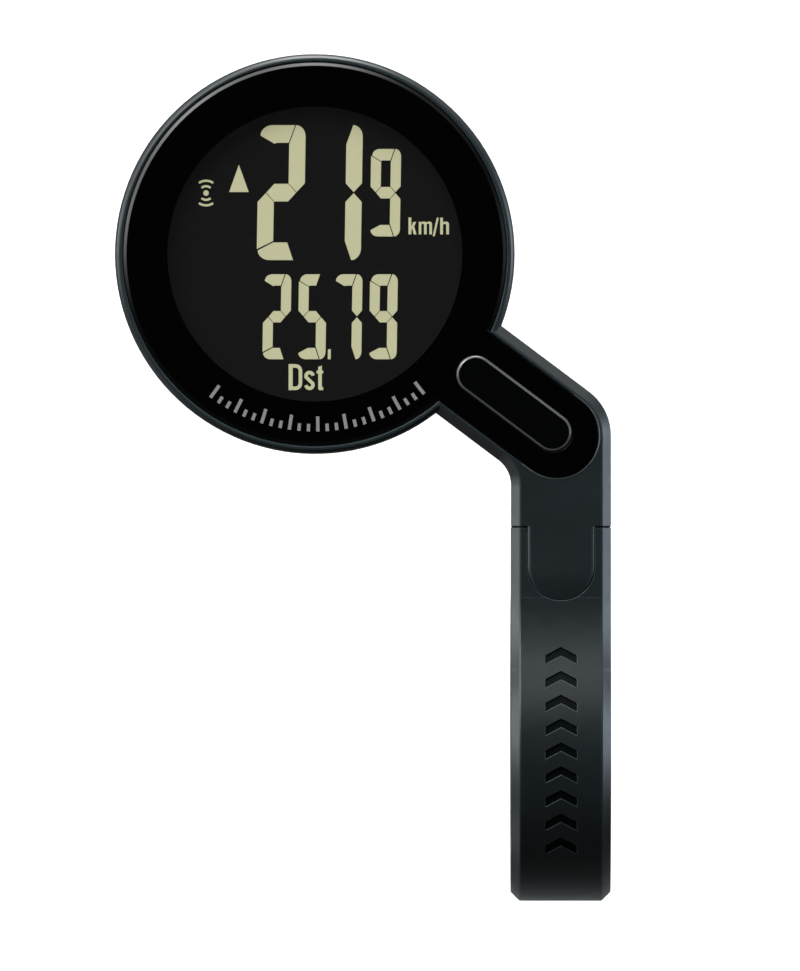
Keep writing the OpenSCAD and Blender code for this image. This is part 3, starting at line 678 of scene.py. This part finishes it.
def digit(character, x, y, w, h, v, t):
    """The lit segments of one character, with its lower left corner at x, y."""
    shapes = segment_outlines(w, h, v, t)
    return [[(x + px + SLANT * (py - h / 2), y + py) for px, py in shapes[s]] for s in SEGMENTS[character]]


def placed(outlines, x, y):
    return [[(x + px, y + py) for px, py in outline] for outline in outlines]


# ---------- letters of the unit signs, each from its own lower left corner ----------

def letter_k():
    return [[(0, 0), (0.34, 0), (0.34, 0.52), (0.46, 0.68), (0.62, 0), (0.96, 0), (0.69, 0.96),
             (0.93, 1.5), (0.58, 1.5), (0.34, 0.92), (0.34, 2.02), (0, 2.02)]]


def letter_m():
    return [[(0, 0), (0.31, 0), (0.31, 1.2), (0.37, 1.27), (0.58, 1.27), (0.64, 1.2), (0.64, 0),
             (0.95, 0), (0.95, 1.2), (1.01, 1.27), (1.22, 1.27), (1.28, 1.2), (1.28, 0), (1.59, 0),
             (1.59, 1.34), (1.43, 1.53), (1.09, 1.53), (0.93, 1.42), (0.78, 1.53), (0.46, 1.53),
             (0.31, 1.42), (0.31, 1.5), (0, 1.5)]]


def slash():
    return [[(0, -0.22), (0.24, -0.22), (0.73, 2.0), (0.49, 2.0)]]


def letter_h():
    return [[(0, 0), (0.33, 0), (0.33, 1.15), (0.42, 1.25), (0.63, 1.25), (0.72, 1.15), (0.72, 0),
             (1.05, 0), (1.05, 1.32), (0.88, 1.52), (0.5, 1.52), (0.33, 1.4), (0.33, 2.0), (0, 2.0)]]


def letter_d():
    stem = [(0, 0), (0.49, 0), (0.49, 3.13), (0, 3.13)]
    bowl = arc(0.82, 2.31, 0.6, 0.6, 90, 0) + arc(0.82, 0.82, 0.6, 0.6, 0, -90)
    return [stem, ribbon([(0.5, 2.91), *bowl, (0.5, 0.22)], 0.43)]


def letter_s():
    upper = arc(0.63, 1.70, 0.42, 0.42, 5, 200)
    lower = arc(0.63, 0.63, 0.42, 0.42, 20, -175)
    return [ribbon(upper + lower, 0.42)]


def letter_t():
    return [[(0.34, 0), (0.8, 0), (0.8, 0.36), (0.72, 0.36), (0.64, 0.44), (0.64, 2.0), (0.8, 2.0),
             (0.8, 2.35), (0.64, 2.35), (0.64, 2.95), (0.2, 2.8), (0.2, 2.35), (0, 2.35), (0, 2.0),
             (0.2, 2.0), (0.2, 0.16)]]


# ---------- the display and the printed scale ----------

def radio_sign():
    """A dot with two short arcs above it and two below."""
    arcs = [ribbon(arc(0, 0, r, r, mid - spread, mid + spread), 0.26)
            for r, spread in ((0.82, 41), (1.48, 35)) for mid in (90, 270)]
    return arcs + [arc(0, 0, 0.33, 0.33, 0, 345, 23)]


# Digit sizes: width, height, and the widths of the upright and of the level segments
LARGE = (5.64, 16.2, 1.95, 2.12)
TENTH = (3.6, 10.5, 1.22, 1.38)
SMALL = (3.33, 10.2, 1.2, 1.36)


def display_signs():
    """Everything that the display shows, in four pieces just above the film. Places are from its middle."""
    z0, z1 = FILM_TOP, FILM_TOP + SIGN_T
    at_disc = dict(finish="sign", slot="reflector", body="head", origin=(DISC.x, DISC.y))
    speed_y, distance_y, unit_y, label_y = -0.72, -12.62, 2.37, -16.33
    speed = (digit("2", -6.86, speed_y, *LARGE) + digit("1", 0.0, speed_y, *LARGE)
             + digit("9", 6.68, 2.12, *TENTH))
    distance = [shape for character, x in (("2", -6.22), ("5", -1.98), ("7", 2.32), ("9", 6.56))
                for shape in digit(character, x, distance_y, *SMALL)]
    decimal_bar = [(1.55, distance_y), (1.90, distance_y), (1.92, -11.42), (1.57, -11.42)]
    letters = ((letter_k, 11.24, unit_y), (letter_m, 12.47, unit_y), (slash, 14.15, unit_y),
               (letter_h, 15.05, unit_y), (letter_d, -3.15, label_y), (letter_s, -1.27, label_y),
               (letter_t, 0.2, label_y))
    labels = [outline for letter, x, y in letters for outline in placed(letter(), x, y)]
    pointer = [(-10.28, 7.45), (-7.94, 7.45), (-9.12, 10.74)]
    plates("speed_digits", speed, z0, z1, **at_disc)
    plates("distance_digits", distance + [decimal_bar], z0, z1, **at_disc)
    plates("unit_labels", labels, z0, z1, **at_disc)
    plates("status_signs", placed(radio_sign(), -13.06, 7.33) + [pointer], z0, z1, **at_disc)


def lens_scale():
    """A plain printed scale along the lower edge of the lens: ticks, with a long one at every third."""
    first, last, count = 234, 308, 25
    outer, inner_long, inner_short, tick_half = 21.3, 19.5, 20.4, 0.2
    outlines = []
    for i in range(count):
        angle = math.radians(first + (last - first) * i / (count - 1))
        out = Vector((math.cos(angle), math.sin(angle)))
        across = Vector((-out.y, out.x)) * tick_half
        inner = inner_short if i % 3 else inner_long
        ends = (out * inner - across, out * inner + across, out * outer + across, out * outer - across)
        outlines.append([tuple(p) for p in ends])
    plates("lens_scale_print", outlines, LENS_TOP, LENS_TOP + PRINT_T, finish="tick", slot="lens_print",
           body="head", origin=(DISC.x, DISC.y))


# ---------- clamp bolt ----------

BOLT_HEAD_R = 2.75
BOLT_HEAD_H = 3.0
KNURL = 0.07
SHANK_R = 1.5
THREAD_PITCH = 0.5
THREAD_DEPTH = 0.26
SOCKET_ACROSS = 2.5
SOCKET_DEPTH = 1.6


def bolt_rings(z0, z1, steps):
    """The bolt's surface as rings of (radius, height), from the socket's floor round to the shank's end."""

    def ring(radius, z):
        return [(radius(i) if callable(radius) else radius, z) for i in range(steps)]

    def knurl(i):
        return BOLT_HEAD_R - (KNURL if i % 2 else 0.0)

    def hexagon(i, grow=0.0, scale=1.0):
        turn = (i / steps * 360) % 60 - 30
        return SOCKET_ACROSS / 2 / math.cos(math.radians(turn)) * scale + grow

    def thread(i, z):
        phase = (z / THREAD_PITCH - i / steps) % 1.0
        return SHANK_R - THREAD_DEPTH * min(1.0, 2.2 * abs(phase - 0.5))

    shoulder = z0 + BOLT_HEAD_H
    rings = [ring(lambda i: hexagon(i, scale=0.98), z0 + SOCKET_DEPTH),
             ring(hexagon, z0 + SOCKET_DEPTH),
             ring(hexagon, z0 + 0.15),
             ring(lambda i: hexagon(i, grow=0.12), z0),
             ring(BOLT_HEAD_R - 0.35, z0),
             ring(BOLT_HEAD_R - 0.1, z0 + 0.15),
             ring(knurl, z0 + 0.35),
             ring(knurl, shoulder - 0.3),
             ring(BOLT_HEAD_R - 0.1, shoulder - 0.1),
             ring(BOLT_HEAD_R - 0.2, shoulder),
             ring(SHANK_R, shoulder)]
    rise = THREAD_PITCH / 8
    for k in range(int((z1 - shoulder - 0.4) / rise)):
        z = shoulder + 0.1 + k * rise
        rings.append([(thread(i, z), z) for i in range(steps)])
    return rings + [ring(SHANK_R - 0.3, z1 - 0.1), ring(SHANK_R - 0.45, z1)]


def clamp_bolt():
    """The socket-head bolt with its knurled head, hexagon socket and rolled thread."""
    low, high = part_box("clamp_bolt")
    axis = centre_mm("clamp_bolt")
    steps = 96
    bm = bmesh.new()
    loops = []
    for ring in bolt_rings(low.z / MM, high.z / MM, steps):
        loop = []
        for i, (r, z) in enumerate(ring):
            a = 2 * math.pi * i / steps
            place = (axis.x + r * math.cos(a), axis.y + r * math.sin(a), z)
            loop.append(bm.verts.new(scaled(place, MM)))
        loops.append(loop)
    for lower, upper in zip(loops, loops[1:]):
        for i in range(steps):
            j = (i + 1) % steps
            bm.faces.new((lower[i], lower[j], upper[j], upper[i]))
    bm.faces.new(loops[0][::-1])
    bm.faces.new(loops[-1])
    bmesh.ops.recalc_face_normals(bm, faces=bm.faces)
    mesh = bpy.data.meshes.new("clamp_bolt_threaded")
    bm.to_mesh(mesh)
    bm.free()
    mesh.shade_smooth()
    piece = dress(in_scene("clamp_bolt_threaded", mesh), "bolt")
    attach(piece, "bolt")
    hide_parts("clamp_bolt")


# ---------- stage, lights and camera ----------

FLOOR_HALF = 1.6
FLOOR_DROP = 0.037
FLOOR_GLOW = 0.34
KEY_WATTS = 27.5
KEY_SIZE = 0.9
KEY_DISTANCE = 1.4
KEY_TILT = 52
CAMERA_DISTANCE = 3.9
VIEW_HEIGHT = 0.1165
VIEW_SHIFT = Vector((4.45, -0.88)) * MM


def floor():
    """A plain pale floor, low enough for the open jaw, with a faint glow that keeps it white."""
    z = cad_box[0].z - FLOOR_DROP
    corners = [(x * FLOOR_HALF, y * FLOOR_HALF, z) for x, y in ((-1, -1), (1, -1), (1, 1), (-1, 1))]
    mesh = bpy.data.meshes.new("floor")
    mesh.from_pydata(corners, [], [(0, 1, 2, 3)])
    thing = in_scene("floor", mesh)
    m = Nodes("pale_floor")
    pale = m.mix(m.noise(40, detail=2), (0.80, 0.80, 0.80), (0.83, 0.83, 0.83))
    m.shader.inputs["Emission Color"].default_value = (1, 1, 1, 1)
    mesh.materials.append(m.finish(pale, 0.9, Emission_Strength=FLOOR_GLOW, Specular_IOR_Level=0.0))
    thing.visible_glossy = False


# The surroundings: an even base, and the heights between which they turn black towards the zenith
SKY_BASE = 0.03
ZENITH_CLEAR = (0.845, 0.965)
# Each soft light of the surroundings: azimuth and elevation in degrees, narrowness, strength and colour
SOFT_LIGHTS = [
    (90, -4, 24, 16, (1, 1, 1)),
    (135, 2, 16, 0.8, (1, 1, 1)),
    (135, 45, 30, 7, (1, 1, 1)),
    (130, 18, 20, 3.5, (1, 1, 1)),
    (165, 18, 30, 1.8, (1, 1, 1)),
    (174, -4, 36, 5.0, (0.96, 1, 1)),
    (4, -8, 36, 7.1, (0.84, 0.97, 1.12)),
    (50, -12, 24, 1.3, (1, 1, 1)),
    (216, -12, 40, 1.4, (1, 1, 1)),
    (90, 46, 4, 0.28, (0.95, 1, 1)),
    (270, -90, 2, 0.3, (0.85, 0.95, 1)),
]


def surroundings():
    """A soft studio all round: dark overhead, with broad lights near the horizon."""
    world = bpy.data.worlds.new("studio")
    bpy.context.scene.world = world
    world.use_nodes = True
    world.node_tree.nodes.clear()
    w = Tree(world.node_tree)
    direction = w.add("ShaderNodeTexCoord").outputs["Generated"]
    total = (SKY_BASE, SKY_BASE, SKY_BASE)
    for azimuth, elevation, narrow, strength, colour in SOFT_LIGHTS:
        a, e = math.radians(azimuth), math.radians(elevation)
        towards = (math.cos(a) * math.cos(e), math.sin(a) * math.cos(e), math.sin(e))
        cosine = w.math("MAXIMUM", w.vector("DOT_PRODUCT", direction, towards), 0.0)
        lobe = w.vector("SCALE", scaled(colour, strength), w.math("POWER", cosine, float(narrow)))
        total = w.vector("ADD", lobe, total)
    clear = w.span(w.part_of(direction, "Z"), *ZENITH_CLEAR, 1.0, 0.0, shape="SMOOTHSTEP")
    light = w.add("ShaderNodeBackground")
    w.link(w.vector("SCALE", total, clear), light.inputs["Color"])
    backdrop = w.add("ShaderNodeBackground")
    backdrop.inputs["Color"].default_value = (0.86, 0.86, 0.86, 1)
    either = w.add("ShaderNodeMixShader")
    seen = w.add("ShaderNodeLightPath").outputs["Is Camera Ray"]
    for source, socket in zip((seen, light.outputs[0], backdrop.outputs[0]), either.inputs):
        w.link(source, socket)
    w.link(either.outputs[0], w.add("ShaderNodeOutputWorld").inputs["Surface"])


def key_light():
    """A broad soft key light from the front and above. It shapes the matt surfaces and isn't mirrored."""
    data = bpy.data.lights.new("key_light", "AREA")
    data.shape = "DISK"
    data.size = KEY_SIZE
    data.energy = KEY_WATTS
    lamp = in_scene("key_light", data)
    towards = Vector((0, math.sin(math.radians(KEY_TILT)), math.cos(math.radians(KEY_TILT))))
    lamp.location = towards * KEY_DISTANCE
    lamp.rotation_mode = "QUATERNION"
    lamp.rotation_quaternion = towards.to_track_quat("Z", "Y")
    lamp.visible_glossy = False
    lamp.visible_camera = False


def camera():
    """A long lens straight above the display's face."""
    middle = (cad_box[0] + cad_box[1]) / 2
    data = bpy.data.cameras.new("camera")
    data.sensor_width = 36
    data.lens = data.sensor_width * CAMERA_DISTANCE / VIEW_HEIGHT
    data.clip_start = 0.01
    data.clip_end = 20
    thing = in_scene("camera", data)
    thing.location = (middle.x + VIEW_SHIFT.x, middle.y + VIEW_SHIFT.y, LENS_TOP * MM + CAMERA_DISTANCE)
    bpy.context.scene.camera = thing


display_signs()
lens_scale()
clamp_bolt()
floor()
surroundings()
key_light()
camera()
bpy.context.scene.view_settings.view_transform = "Standard"
